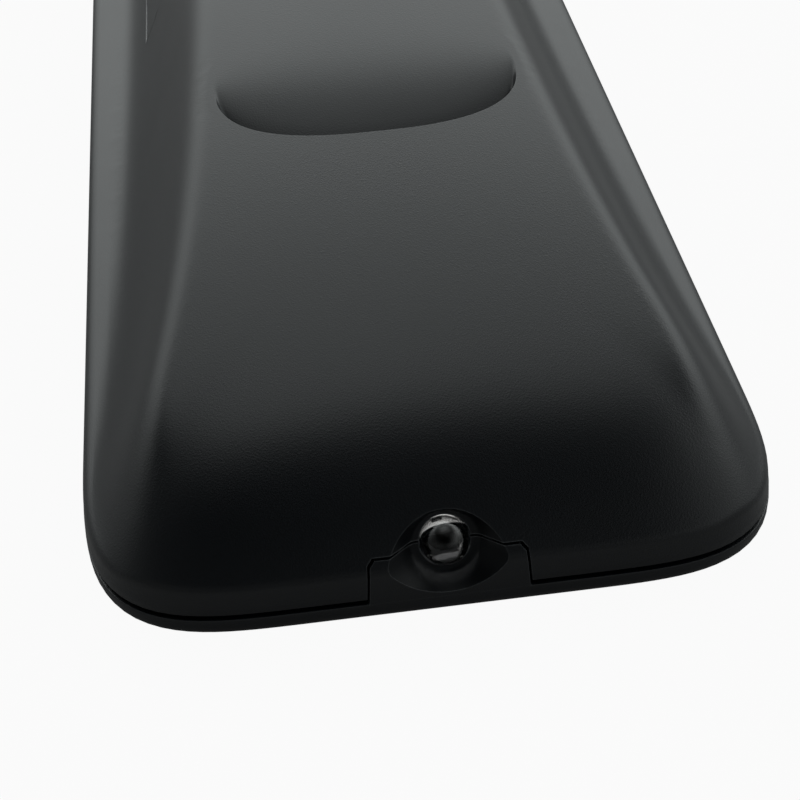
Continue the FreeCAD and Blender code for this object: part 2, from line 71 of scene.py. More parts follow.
RECESS_Y, RECESS_X, RECESS_L = 41.0 - HALF_L, 11.4, 7.6
RECESS_POWER, RECESS_DEPTH, RECESS_LIP = 2.5, 2.2, 0.35
# Measures that grow away from an end as low + gain * (1 - exp(-distance / reach)): (low, gain, reach)
SPINE, VALLEY, FLANK = (6.8, 13.2, 38.0), (-0.6, 4.6, 48.0), (2.2, 7.5, 17.0)
NEAR_END, FAR_END = (WALL_HEIGHT, 24.0, 20.0), (WALL_HEIGHT, 26.0, 16.0)
CROWN, SHOULDER, SHOULDER_REACH, BLEND = 0.003, 0.45, 4.1, 0.9


# Form of the shells
def swell(distance, low, gain, reach):
    return low + gain * (1 - np.exp(-distance / reach))


def back_height(x, y):
    """Height of the back above the parting line, without the finger recess."""
    margin = 1.0
    u = np.maximum(0.0, np.abs(x) - HALF_W + CORNER_X) / (CORNER_X + margin)
    v = np.maximum(0.0, np.abs(y) - HALF_L + CORNER_Y) / (CORNER_Y + margin)
    near = (u ** CORNER_POWER + v ** CORNER_POWER) ** (1 / CORNER_POWER)
    square = (u ** 12.0 + v ** 12.0) ** (1 / 12.0)
    share = (1 - near) / np.maximum(1 - square, 0.03)
    side = (HALF_W + margin - np.abs(x)) * share - margin
    end = (HALF_L + margin - np.abs(y)) * share - margin
    away = np.maximum(y + HALF_L, 0.0)
    spine = swell(away, *SPINE) - CROWN * x * x
    shoulder = WALL_HEIGHT + SHOULDER * side * np.exp(-np.maximum(side, 0.0) / SHOULDER_REACH)
    rise = np.clip((side - swell(away, *VALLEY)) / swell(away, *FLANK), 0.0, 1.0)
    flank = shoulder + (spine - shoulder) * rise * rise * (3 - 2 * rise)
    slope = np.where(y < 0, swell(end, *NEAR_END), swell(end, *FAR_END))
    return -BLEND * np.log(np.exp(-slope / BLEND) + np.exp(-flank / BLEND))


def recess_reach(x, y):
    """Distance inside the finger recess's outline."""
    p = RECESS_POWER
    u, v = np.abs(x) / RECESS_X, np.abs(y - RECESS_Y) / RECESS_L
    q = np.maximum((u ** p + v ** p) ** (1 / p), 0.02)
    steep = q ** (1 - p) * np.hypot(u ** (p - 1) / RECESS_X, v ** (p - 1) / RECESS_L)
    return (1 - q) / np.maximum(steep, 0.05)


def top_height(x, y):
    """Height of the back above the table; the finger recess is deep at its near lip and runs out away from it."""
    chord = np.maximum(1 - (np.abs(x) / RECESS_X) ** RECESS_POWER, 1e-4) ** (1 / RECESS_POWER)
    along = np.clip((y - RECESS_Y) / (2 * RECESS_L * chord) + 0.5, 0.0, 1.0)
    rise = np.clip(recess_reach(x, y) / RECESS_LIP, 0.0, 1.0)
    depth = RECESS_DEPTH * chord ** 0.7 * (1 - along) ** 4 * rise * rise * (3 - 2 * rise)
    return PARTING + back_height(x, y) - depth


def stations():
    """Places round the outline: (ax, bx, ay, by), a point at inset d being (ax + bx*(CX - d), ay + by*(CY - d))."""
    rows = []
    flat_x, flat_y = HALF_W - CORNER_X, HALF_L - CORNER_Y

    def corner(sx, sy, forward):
        angles = np.linspace(0, math.pi / 2, 31)
        for a in angles if forward else angles[::-1]:
            c, s = math.cos(a), math.sin(a)
            r = (c ** CORNER_POWER + s ** CORNER_POWER) ** (-1 / CORNER_POWER)
            rows.append((sx * flat_x, sx * c * r, sy * flat_y, sy * s * r))
    for way in (1.0, -1.0):
        rows += [(way * flat_x, way, y, 0.0) for y in way * np.linspace(-flat_y, flat_y, 116)[1:-1]]
        corner(way, way, True)
        rows += [(x, 0.0, way * flat_y, way) for x in way * np.linspace(flat_x, -flat_x, 26)[1:-1]]
        corner(-way, way, False)
    return np.array(rows).T


AX, BX, AY, BY = stations()


def ring(inset):
    """Points of the outline moved inwards; inset is one value or one for each station."""
    return np.column_stack([AX + BX * (CORNER_X - inset), AY + BY * (CORNER_Y - inset)])


def ring3(inset, z):
    return np.column_stack([ring(inset), np.broadcast_to(z, len(AX))])


def strip(bm, rings):
    """Joins closed rings of equal length with quads, and returns the rings' vertices."""
    made = [[bm.verts.new(p) for p in r] for r in rings]
    for low, high in zip(made[:-1], made[1:]):
        for i in range(len(low)):
            j = (i + 1) % len(low)
            bm.faces.new((low[i], low[j], high[j], high[i]))
    return made


def wall_rings(low, rounded):
    """Rings up the side wall, round its top edge and a little way in over the back."""
    z_edge = np.full(len(AX), PARTING + WALL_HEIGHT)
    for _ in range(12):
        inset = (z_edge - PARTING) * DRAFT
        p = ring(inset)
        z_edge = PARTING + back_height(p[:, 0], p[:, 1])
    inset = (z_edge - PARTING) * DRAFT
    a, b = ring(inset + 0.02), ring(inset + 0.5)
    rise = (back_height(b[:, 0], b[:, 1]) - back_height(a[:, 0], a[:, 1])) / 0.48
    wall = np.array([DRAFT, 1.0]) / math.hypot(DRAFT, 1.0)
    size = np.hypot(1.0, rise)
    back = np.column_stack([1 / size, rise / size])
    turn = np.arccos(np.clip(back @ wall, -1, 1))
    reach = WALL_EDGE * np.tan(turn / 2)
    edge = np.column_stack([inset, z_edge])
    start = edge - reach[:, None] * wall
    stop = edge + reach[:, None] * back
    base = max((low - PARTING) * DRAFT, 0.0)
    rings, first = [ring3(base, low)], low
    if rounded:
        rings, first = [ring3(base + 0.09, low), ring3(base + 0.03, low + 0.02), ring3(base, low + 0.09)], low + 0.09
    for t in (0.35, 0.7, 0.92):
        z = first + (start[:, 1] - first) * t
        rings.append(ring3(np.maximum((z - PARTING) * DRAFT, 0.0), z))
    for t in np.linspace(0, 1, 8):
        q = (1 - t) ** 2 * start + 2 * t * (1 - t) * edge + t * t * stop
        rings.append(ring3(q[:, 0], q[:, 1]))
    for t in (0.08, 0.2, 0.4, 0.7, 1.0):
        d = stop[:, 0] + (2.2 - stop[:, 0]) * t
        p = ring(d)
        blend = stop[:, 1] - PARTING - back_height(*ring(stop[:, 0]).T)
        rings.append(np.column_stack([p, PARTING + back_height(p[:, 0], p[:, 1]) + blend * (1 - t) ** 2]))
    return rings


def oval(half_x, half_y, power, count):
    a = np.linspace(0, 2 * math.pi, count, endpoint=False)
    c, s = np.cos(a), np.sin(a)
    r = (np.abs(c / half_x) ** power + np.abs(s / half_y) ** power) ** (-1 / power)
    return np.column_stack([c * r, s * r])


def inside_polygon(points, loop):
    x, y = points[:, 0], points[:, 1]
    hit = np.zeros(len(points), bool)
    for (x0, y0), (x1, y1) in zip(loop, np.roll(loop, -1, axis=0)):
        cross = (y0 > y) != (y1 > y)
        with np.errstate(divide="ignore", invalid="ignore"):
            at = (x1 - x0) * (y - y0) / (y1 - y0) + x0
        hit ^= cross & (x < at)
    return hit


def triangulate(points, edges):
    verts, _, faces, *_ = delaunay_2d_cdt([Vector(p) for p in points], edges, [], 0, 1e-6, False)
    return np.array([tuple(v) for v in verts]), faces


# Loops of points round the recess, from outside its lip inwards, close together at the lip
RECESS_LOOPS = (0.6, 0.35, 0.2, 0.12, 0.08, 0.055, 0.04, 0.025, 0.01, -0.005, -0.025, -0.05, -0.085, -0.13, -0.19,
                -0.27, -0.37, -0.5, -0.68, -0.92, -1.22, -1.6, -2.0, -2.25, -2.6)


def recess_power(points, grow):
    """Below 1 inside the recess's outline grown by grow."""
    u, v = np.abs(points[:, 0]) / (RECESS_X + grow), np.abs(points[:, 1] - RECESS_Y) / (RECESS_L + grow)
    return u ** RECESS_POWER + v ** RECESS_POWER


def add_faces(bm, flat, z, faces):
    verts = [bm.verts.new((x, y, h)) for (x, y), h in zip(flat, z)]
    for f in faces:
        bm.faces.new([verts[i] for i in f])
    bmesh.ops.delete(bm, geom=[v for v in verts if not v.link_faces], context="VERTS")


def body_form(low, rounded):
    """Closed solid of the whole back, from height low up, as a bmesh."""
    bm = bmesh.new()
    rings = wall_rings(low, rounded)
    made = strip(bm, rings)
    bm.faces.new(made[0][::-1])
    border = rings[-1][:, :2]
    loops = [oval(RECESS_X + grow, RECESS_L + grow, RECESS_POWER, 240) + (0, RECESS_Y) for grow in RECESS_LOOPS]
    strip(bm, [np.column_stack([p, top_height(p[:, 0], p[:, 1])]) for p in loops])
    step = 0.72
    gx, gy = np.meshgrid(np.arange(-HALF_W, HALF_W, step), np.arange(-HALF_L, HALF_L, step * 0.866))
    gx[1::2] += step / 2
    grid = np.column_stack([gx.ravel(), gy.ravel()])
    grid = grid[inside_polygon(grid, ring(2.75))]
    outer = grid[recess_power(grid, RECESS_LOOPS[0] + 0.45) > 1]
    amid = grid[recess_power(grid, RECESS_LOOPS[-1] - 0.45) < 1]
    n, m = len(border), len(loops[0])
    edges = [(i, (i + 1) % n) for i in range(n)] + [(n + i, n + (i + 1) % m) for i in range(m)]
    flat, faces = triangulate(np.vstack([border, loops[0], outer]), edges)
    z = top_height(flat[:, 0], flat[:, 1])
    z[:n] = rings[-1][:, 2]
    keep = [f for f in faces if recess_power(flat[list(f)].mean(axis=0)[None], RECESS_LOOPS[0]) > 1]
    add_faces(bm, flat, z, keep)
    flat, faces = triangulate(np.vstack([loops[-1], amid]), [(i, (i + 1) % m) for i in range(m)])
    add_faces(bm, flat, top_height(flat[:, 0], flat[:, 1]), faces)
    bmesh.ops.remove_doubles(bm, verts=bm.verts, dist=1e-4)
    bmesh.ops.recalc_face_normals(bm, faces=bm.faces)
    return bm


# Making of objects
def to_object(bm, name):
    bmesh.ops.scale(bm, vec=(MM, MM, MM), verts=bm.verts)
    mesh = bpy.data.meshes.new(name)
    bm.to_mesh(mesh)
    bm.free()
    obj = bpy.data.objects.new(name, mesh)
    bpy.context.collection.objects.link(obj)
    return obj


@contextmanager
def edited(obj):
    """The object's mesh as a bmesh, which is written back at the end."""
    bm = bmesh.new()
    bm.from_mesh(obj.data)
    yield bm
    bm.to_mesh(obj.data)
    bm.free()


def tube(*stacks):
    """Closed solids with flat ends, one through each stack of rings."""
    bm = bmesh.new()
    for rings in stacks:
        made = strip(bm, rings)
        bm.faces.new(made[0][::-1])
        bm.faces.new(made[-1])
    bmesh.ops.recalc_face_normals(bm, faces=bm.faces)
    return bm


def prism_y(loop, y0, y1):
    """Closed bar along Y with the XZ outline loop."""
    return tube([[(x, y, z) for x, z in loop] for y in (y0, y1)])


def tab_loop(grow):
    top = EMITTER_Z + grow
    half_low, half_top = TAB_HALF + grow, TAB_HALF - TAB_DRAFT + grow
    return [(-half_low, 0.0), (half_low, 0.0), (half_top, top - TAB_CHAMFER), (half_top - TAB_CHAMFER, top),
            (TAB_CHAMFER - half_top, top), (-half_top, top - TAB_CHAMFER)]


def emitter_room():
    """Dish round the emitter, whose floor leans back, and the bore, as one closed solid."""
    turn = np.linspace(0, 2 * math.pi, 120, endpoint=False)
    lean = Vector((0, -math.cos(CONE_TILT), math.sin(CONE_TILT)))
    rise = Vector((0, math.sin(CONE_TILT), math.cos(CONE_TILT)))
    middle = Vector((0, CONE_DEPTH - HALF_L, EMITTER_Z))

    def loop(out, inset):
        half_x = CONE_FLOOR + (CONE_X - CONE_FLOOR) * max(out, 0.0) / CONE_REACH - inset
        half_z = CONE_FLOOR + (CONE_Z - CONE_FLOOR) * max(out, 0.0) / CONE_REACH - inset
        return [middle + lean * out + Vector((half_x * math.cos(a), 0, 0)) + rise * half_z * math.sin(a)
                for a in turn]

    def bore_edge(radius, back):
        """Round edge of the bore on the leaning floor."""
        spots = [(radius * math.cos(a), radius * math.sin(a)) for a in turn]
        return [Vector((x, middle.y + z * math.tan(CONE_TILT), middle.z + z)) + Vector((0, back, 0)) for x, z in spots]
    rings = [loop(3.1, 0.0)] + [loop(out, 0.0) for out in (2.0, 1.4, 0.9, 0.5, 0.16)]
    rings += [loop(0.09, 0.015), loop(0.03, 0.07), loop(0.0, 0.17)]
    rings += [bore_edge(BORE_R + 0.1, 0.0), bore_edge(BORE_R + 0.05, 0.0), bore_edge(BORE_R, 0.05)]
    rings.append([Vector((BORE_R * math.cos(a), BORE_END - HALF_L, EMITTER_Z + BORE_R * math.sin(a))) for a in turn])
    return tube(rings)


def boolean(obj, tool, operation):
    """Applies one exact boolean and removes the tool; the faces that the tool leaves get index 1."""
    for each in (obj, tool):
        while len(each.data.materials) < 2:
            each.data.materials.append(None)
    for poly in tool.data.polygons:
        poly.material_index = 1
    mod = obj.modifiers.new("cut", "BOOLEAN")
    mod.operation = operation
    mod.solver = "EXACT"
    mod.object = tool
    bpy.context.view_layer.update()
    done = bpy.data.meshes.new_from_object(obj.evaluated_get(bpy.context.evaluated_depsgraph_get()))
    obj.modifiers.remove(mod)
    obj.data = done
    bpy.data.objects.remove(tool)


def keep_where(obj, point, normal):
    """Cuts a mesh by a plane and keeps the side that normal points to (mm)."""
    with edited(obj) as bm:
        everything = list(bm.verts) + list(bm.edges) + list(bm.faces)
        bmesh.ops.bisect_plane(bm, geom=everything, plane_co=Vector(point) * MM, plane_no=Vector(normal),
                               clear_inner=True)


def drop_faces(obj, test):
    with edited(obj) as bm:
        gone = [f for f in bm.faces if test(f.calc_center_median() / MM, f.normal)]
        bmesh.ops.delete(bm, geom=gone, context="FACES")


def absorb(obj, other, weld=False):
    """Moves another object's faces into obj."""
    with edited(obj) as bm:
        bm.from_mesh(other.data)
        if weld:
            bmesh.ops.remove_doubles(bm, verts=bm.verts, dist=1e-7)
    bpy.data.objects.remove(other)


def copy_of(obj, name):
    new = bpy.data.objects.new(name, obj.data.copy())
    bpy.context.collection.objects.link(new)
    return new


def smooth(obj, angle=35.0):
    """Smooth shading with sharp edges by angle and round the faces that a tool cut."""
    obj.data.shade_smooth()
    with edited(obj) as bm:
        for e in bm.edges:
            if len(e.link_faces) == 2:
                a, b = e.link_faces
                same = a.material_index == b.material_index
                e.smooth = same and a.normal.angle(b.normal, 0) < math.radians(angle)


def with_remainder(obj, node, near=0.16, keep=None):
    """Adds the node's own faces that the dressed mesh doesn't lie on, such as its inner walls."""
    rest = bmesh.new()
    rest.from_mesh(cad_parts[node].data)
    with edited(obj) as bm:
        tree = BVHTree.FromBMesh(bm)
        gone = []
        for f in rest.faces:
            centre = f.calc_center_median()
            spot, normal, _, gap = tree.find_nearest(centre, 4.0 * near * MM)
            same = normal.dot(f.normal) if spot is not None else 0.0
            if same > 0.6 or (abs(same) > 0.6 and gap < near * MM):
                gone.append(f)
            elif keep and not keep(centre / MM, f.normal):
                gone.append(f)
        bmesh.ops.delete(rest, geom=gone, context="FACES")
        spare = bpy.data.meshes.new("spare")
        rest.to_mesh(spare)
        bm.from_mesh(spare)
    rest.free()
    bpy.data.meshes.remove(spare)


def place(obj, body, node=None):
    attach(obj, body)
    if node:
        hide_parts(node)
    return obj


def inner(spot, normal):
    """Whether a face lies well below the outside of the back, or on a rim at the door's seam."""
    if abs(normal.y) > 0.9 and abs(spot.y - DOOR_Y) < 0.3 or abs(normal.z) > 0.9 and abs(spot.z - DECK_TOP) < 0.3:
        return True
    x, y = np.full(1, spot.x), np.full(1, spot.y)
    cad_recess = normal.z > 0.0 and recess_reach(x, y)[0] > -0.6
    return top_height(x, y)[0] - spot.z > (1.5 if cad_recess else 0.9)


# Shells
def cut_dish(obj, tab_grow):
    """Cuts the emitter's dish and bore, and first the tab's notch where tab_grow gives its gap."""
    if tab_grow:
        notch = prism_y(tab_loop(tab_grow), -HALF_L - 1, -HALF_L + TAB_DEPTH + tab_grow)
        boolean(obj, to_object(notch, "tool"), "DIFFERENCE")
    boolean(obj, to_object(emitter_room(), "tool"), "DIFFERENCE")


whole = to_object(body_form(REAR_LOW, True), "whole")
cut_dish(whole, TAB_GAP)
drop_faces(whole, lambda c, n: n.z < -0.99 and c.z < REAR_LOW + 0.005)
rear_low = copy_of(whole, "rear_low")
keep_where(rear_low, (0, 0, DECK_TOP), (0, 0, -1))
keep_where(rear_low, (0, DOOR_Y, 0), (0, 1, 0))
rear = copy_of(whole, "rear_shell_skin")
keep_where(rear, (0, DOOR_Y, 0), (0, -1, 0))
door = copy_of(whole, "battery_door_skin")
keep_where(door, (0, DOOR_Y + DOOR_GAP, 0), (0, 1, 0))
keep_where(door, (0, 0, DECK_TOP + DOOR_GAP), (0, 0, 1))
# The gap narrows at the door's one corner that lies inside the photo's frame, where the photo shows no line
NARROWING = 0.7 * DOOR_GAP * MM
for v in door.data.vertices:
    if v.co.x < 0.0 and v.co.y < 4.0 * MM:
        if abs(v.co.y / MM - DOOR_Y - DOOR_GAP) < 1e-3:
            v.co.y -= NARROWING * min(1.0, max(0.0, -v.co.x / MM - 8.0) / 5.0)
        elif abs(v.co.z / MM - DECK_TOP - DOOR_GAP) < 1e-3:
            v.co.z -= NARROWING * min(1.0, max(0.0, 4.0 - v.co.y / MM) / 3.0)
absorb(rear, rear_low, weld=True)
bpy.data.objects.remove(whole)
with_remainder(rear, "rear_shell", keep=inner)
with_remainder(door, "battery_door", keep=inner)
smooth(rear)
smooth(door)
place(rear, "case", "rear_shell")
place(door, "door", "battery_door")


# Keys: each outline is a function of the distance that it grows by
SIDE_X = HALF_W - 11.2
ROWS = {"power": 19.0, "rocker": 43.0, "ring": 78.0, "bottom": 105.0}
RING_IN, RING_OUT, RING_HALF = 9.3, HALF_W - 6.8, 40.0


def circle(x, distance, radius):
    def loop(grow):
        p = oval(radius + grow, radius + grow, 2.0, 96)
        return p + (x, distance - HALF_L)
    return loop


def pill(x, distance, half_x, half_y):
    def loop(grow):
        a = np.linspace(0, math.pi / 2, 25)
        c, s = np.cos(a), np.sin(a)
        r = (c ** 2.2 + s ** 2.2) ** (-1 / 2.2) * (half_x + grow)
        q = np.column_stack([c * r, s * r + half_y - half_x])
        side = np.linspace(-(half_y - half_x), half_y - half_x, 20)[1:-1]
        right = np.column_stack([np.full(len(side), half_x + grow), side])
        p = np.vstack([right, q, (q * (-1, 1))[::-1], (right * (-1, 1))[::-1], q * (-1, -1), (q * (1, -1))[::-1]])
        gap = np.linalg.norm(p - np.roll(p, 1, axis=0), axis=1)
        return p[gap > 1e-4] + (x, distance - HALF_L)
    return loop


def ring_part(middle):
    def loop(grow):
        points = []
        for radius, direction in ((RING_OUT + grow, 1), (RING_IN - grow, -1)):
            half = math.radians(RING_HALF) + grow / radius
            span = np.linspace(-half, half, 44) * direction + math.radians(middle)
            points.append(np.column_stack([np.cos(span) * radius, np.sin(span) * radius]))
        return np.vstack(points) + (0, ROWS["ring"] - HALF_L)
    return loop


KEYS = {
    "power": circle(-SIDE_X, ROWS["power"], 5.0), "source": circle(SIDE_X, ROWS["power"], 5.0),
    "mute": circle(0, ROWS["rocker"] - 7.0, 4.2), "mode": circle(0, ROWS["rocker"] + 7.0, 4.2),
    "volume": pill(-SIDE_X, ROWS["rocker"], 5.0, 12.5), "woofer": pill(SIDE_X, ROWS["rocker"], 5.0, 12.5),
    "right": ring_part(0), "down": ring_part(90), "left": ring_part(180), "up": ring_part(270),
    "play": circle(0, ROWS["ring"], 6.4), "pair": circle(-SIDE_X, ROWS["bottom"], 4.2),
    "settings": circle(0, ROWS["bottom"], 4.2), "light": circle(SIDE_X, ROWS["bottom"], 4.2),
}
ROCKERS = ("volume", "woofer")
KEY_LOW, KEY_EDGE = FIELD_Z - 0.25, 0.35
FLANGE_LOW = {name: FACE_INNER + 0.1 for name in KEYS}
FLANGE_LOW["volume"] = FLANGE_LOW["woofer"] = FACE_INNER + 0.1 + 12.5 * math.sin(math.radians(2.5))


def front_form():
    """Outer faces of the front shell, with its key openings."""
    bm = bmesh.new()
    turn = np.linspace(0, math.pi / 2, 10)
    rings = [ring3(0.9, PARTING), ring3(0.09, PARTING), ring3(0.03, PARTING - 0.02), ring3(0.0, PARTING - 0.09),
             ring3(0.0, (PARTING + FACE_RADIUS) / 2)]
    rings += [ring3(FACE_RADIUS * (1 - math.cos(a)), FACE_RADIUS * (1 - math.sin(a))) for a in turn]
    rings += [ring3(1.6, 0.0), ring3(2.4, 0.0), ring3(FIELD_INSET - 0.12, 0.0), ring3(FIELD_INSET - 0.035, 0.035),
              ring3(FIELD_INSET, 0.12), ring3(FIELD_INSET, FIELD_Z - 0.1), ring3(FIELD_INSET + 0.03, FIELD_Z - 0.03),
              ring3(FIELD_INSET + 0.1, FIELD_Z)]
    strip(bm, rings)
    border = rings[-1][:, :2]
    points, edges, loops = [border], [(i, (i + 1) % len(border)) for i in range(len(border))], []
    start = len(border)
    for loop in KEYS.values():
        p = loop(0.32)
        loops.append(p)
        points.append(p)
        edges += [(start + i, start + (i + 1) % len(p)) for i in range(len(p))]
        start += len(p)
        hole = [np.column_stack([loop(g), np.full(len(loop(g)), z)])
                for g, z in ((0.32, FIELD_Z), (0.235, FIELD_Z + 0.035), (0.2, FIELD_Z + 0.12), (0.2, FACE_INNER))]
        strip(bm, hole)
    flat, faces = triangulate(np.vstack(points), edges)
    centres = np.array([flat[list(f)].mean(axis=0) for f in faces])
    keep = np.ones(len(faces), bool)
    for p in loops:
        keep &= ~inside_polygon(centres, p)
    verts = [bm.verts.new((x, y, FIELD_Z)) for x, y in flat]
    for f, k in zip(faces, keep):
        if k:
            bm.faces.new([verts[i] for i in f])
    bmesh.ops.delete(bm, geom=[v for v in bm.verts if not v.link_faces], context="VERTS")
    bmesh.ops.remove_doubles(bm, verts=bm.verts, dist=1e-4)
    bmesh.ops.recalc_face_normals(bm, faces=bm.faces)
    return bm


front = to_object(front_form(), "front_shell_skin")
tab = to_object(body_form(PARTING - 0.1, False), "tab_skin")
boolean(tab, to_object(prism_y(tab_loop(0.0), -HALF_L - 1, -HALF_L + TAB_DEPTH), "tool"), "INTERSECT")
cut_dish(tab, 0.0)
drop_faces(tab, lambda c, n: n.z < -0.9 and c.z < PARTING)
absorb(front, tab)
with_remainder(front, "front_shell")
smooth(front)
place(front, "case", "front_shell")


def key_form(name):
    """Cap with a rounded edge, open towards its flange, which is the CAD model's own."""
    bm = bmesh.new()
    loop = KEYS[name]
    rows = [(-KEY_EDGE * (1 - math.sin(a)), KEY_LOW + KEY_EDGE * (1 - math.cos(a)))
            for a in np.linspace(0, math.pi / 2, 7)]
    rows.append((0.0, FLANGE_LOW[name]))
    made = strip(bm, [np.column_stack([loop(g), np.full(len(loop(g)), z)]) for g, z in rows])
    bm.faces.new(made[0])
    bmesh.ops.recalc_face_normals(bm, faces=bm.faces)
    return bm


keys = {}
for name in KEYS:
    key = to_object(key_form(name), name + "_key_cap")
    with_remainder(key, name + "_key", near=0.1)
    smooth(key)
    keys[name] = place(key, name, name + "_key")


# Camera, fitted to the photo's outline
CAMERA_AT, CAMERA_TURN, FOCAL_PIXELS = (-9.83, -155.88, 79.75), (-5.2, 37.55, -3.28), 1799


def camera():
    az, el, roll = (math.radians(v) for v in CAMERA_TURN)
    fwd = Vector((-math.sin(az) * math.cos(el), math.cos(az) * math.cos(el), -math.sin(el)))
    right = Vector((math.cos(az), math.sin(az), 0))
    up = right.cross(fwd)
    r2 = right * math.cos(roll) + up * math.sin(roll)
    u2 = up * math.cos(roll) - right * math.sin(roll)
    data = bpy.data.cameras.new("camera")
    data.sensor_width = 36
    data.lens = FOCAL_PIXELS / 800 * 36
    data.clip_start = 0.005
    obj = bpy.data.objects.new("camera", data)
    bpy.context.collection.objects.link(obj)
    turn = Matrix((r2, u2, -fwd)).transposed()
    obj.matrix_world = Matrix.Translation(Vector(CAMERA_AT) * MM) @ turn.to_4x4()
    bpy.context.scene.camera = obj


camera()


# Materials
def new_material(name):
    mat = bpy.data.materials.new(name)
    mat.use_nodes = True
    tree = mat.node_tree
    tree.nodes.clear()
    shader = add(tree, "BsdfPrincipled")
    tree.links.new(shader.outputs[0], add(tree, "OutputMaterial").inputs[0])
    return mat, tree, shader


def add(tree, kind, **values):
    """Shader node with its settings and input values."""
    node = tree.nodes.new("ShaderNode" + kind)
    for key, value in values.items():
        if hasattr(node, key):
            setattr(node, key, value)
        else:
            node.inputs[key.replace("_", " ")].default_value = value
    return node


def number(tree, operation, a, b=None, c=None):
    """Math node on sockets or plain numbers."""
    node = tree.nodes.new("ShaderNodeMath")
    node.operation = operation
    for socket, value in zip(node.inputs, (a, b, c)):
        if value is None:
            continue
        if isinstance(value, (int, float)):
            socket.default_value = value
        else:
            tree.links.new(value, socket)
    return node.outputs[0]


def blend(tree, factor, first, second):
    """Mix of two colours, each a socket or plain numbers."""
    node = add(tree, "Mix", data_type="RGBA")
    tree.links.new(factor, node.inputs[0])
    for value, socket in ((first, node.inputs[6]), (second, node.inputs[7])):
        if isinstance(value, tuple):
            socket.default_value = (*value, 1)
        else:
            tree.links.new(value, socket)
    return node.outputs[2]


def between(tree, value, low, high, start=0.0, stop=1.0):
    """Maps start to low and stop to high."""
    node = add(tree, "MapRange", From_Min=start, From_Max=stop, To_Min=low, To_Max=high)
    tree.links.new(value, node.inputs["Value"])
    return node.outputs[0]


def mixed(tree, share, first, second):
    """Mix of two shaders."""
    node = add(tree, "MixShader")
    for value, socket in zip((share, first, second), node.inputs):
        tree.links.new(value, socket)
    return node.outputs[0]


def to_output(tree, value):
    tree.links.new(value, tree.nodes["Material Output"].inputs[0])


def grained(name, colour, roughness, grain, depth, specular, edge_highlight):
    """Moulded plastic: fine grain in bump and tone, slow change in roughness, and the edges painted lighter as a
    highlight.
    """
    mat, tree, shader = new_material(name)
    link = tree.links.new
    where = add(tree, "TexCoord")
    fine = add(tree, "TexVoronoi", Scale=grain)
    soft = add(tree, "TexNoise", Scale=grain * 0.8, Detail=3.0)
    slow = add(tree, "TexNoise", Scale=70.0, Detail=3.0)
    for tex in (fine, soft, slow):
        link(where.outputs["Object"], tex.inputs["Vector"])
    bump = add(tree, "Bump", Strength=depth, Distance=0.00004)
    link(number(tree, "MULTIPLY", fine.outputs["Distance"], soft.outputs["Fac"]), bump.inputs["Height"])
    link(bump.outputs[0], shader.inputs["Normal"])
    link(between(tree, slow.outputs["Fac"], roughness - 0.03, roughness + 0.03), shader.inputs["Roughness"])
    tone = blend(tree, soft.outputs["Fac"], tuple(c * 0.6 for c in colour), tuple(c * 1.5 for c in colour))
    bevel = add(tree, "Bevel", samples=4, Radius=0.00011)
    plain = add(tree, "NewGeometry")
    turn = add(tree, "VectorMath", operation="DOT_PRODUCT")
    link(bevel.outputs[0], turn.inputs[0])
    link(plain.outputs["Normal"], turn.inputs[1])
    # Edges, found where the Bevel normal turns from the plain one, take the lighter colour in patches: a painted
    # highlight
    edge = between(tree, turn.outputs["Value"], 0.0, 1.0, 0.985, 0.86)
    highlight_share = number(tree, "MULTIPLY", edge, number(tree, "ADD", soft.outputs["Fac"], 0.25))
    link(blend(tree, highlight_share, tone, edge_highlight), shader.inputs["Base Color"])
    shader.inputs["Specular IOR Level"].default_value = specular
    return mat


def dress(obj, *mats):
    """Gives an object its materials; faces keep their index where there are several."""
    kept = [min(poly.material_index, len(mats) - 1) for poly in obj.data.polygons]
    obj.data.materials.clear()
    for mat in mats:
        obj.data.materials.append(mat)
    obj.data.polygons.foreach_set("material_index", kept)


# The last colour of each material is its painted edge highlight
black = grained("black_plastic", (0.0022, 0.0034, 0.0052), 0.36, 8500.0, 0.34, 0.5, (0.075, 0.08, 0.085))
key_black = grained("key_plastic", (0.016, 0.017, 0.019), 0.36, 8000.0, 0.12, 0.5, (0.05, 0.052, 0.055))
# The dish, bore and notch get a darker tone, painted shade in the hollow, and a brighter edge colour, a painted
# highlight on the rim
recess_shade_and_highlight = grained("recess_plastic", (0.0016, 0.0024, 0.0036), 0.3, 8500.0, 0.03, 0.22, (0.16, 0.168, 0.175))
for piece in (rear, front):
    dress(piece, black, recess_shade_and_highlight)
dress(door, black)
for piece in keys.values():
    dress(piece, key_black)


def finish(name, low, high, roughness, scale, metal=0.0, bump=0.1, depth=0.00003, specular=0.5, stretch=None):
    """General finish: two tones mixed by noise, roughness that changes slowly, and a fine bump."""
    mat, tree, shader = new_material(name)
    link = tree.links.new
    where = add(tree, "TexCoord")
    source = where.outputs["Object"]
    if stretch:
        turned = add(tree, "Mapping", Scale=stretch)
        link(source, turned.inputs["Vector"])
        source = turned.outputs[0]
    fine = add(tree, "TexNoise", Scale=scale, Detail=4.0)
    slow = add(tree, "TexNoise", Scale=scale * 0.12, Detail=2.0)
    link(source, fine.inputs["Vector"])
    link(source, slow.inputs["Vector"])
    tone = blend(tree, slow.outputs["Fac"], low, high)
    link(tone, shader.inputs["Base Color"])
    link(between(tree, fine.outputs["Fac"], roughness * 0.8, roughness * 1.2), shader.inputs["Roughness"])
    height = add(tree, "Bump", Strength=bump, Distance=depth)
    link(fine.outputs["Fac"], height.inputs["Height"])
    link(height.outputs[0], shader.inputs["Normal"])
    shader.inputs["Metallic"].default_value = metal
    shader.inputs["Specular IOR Level"].default_value = specular
    return mat, tree, shader, tone, where


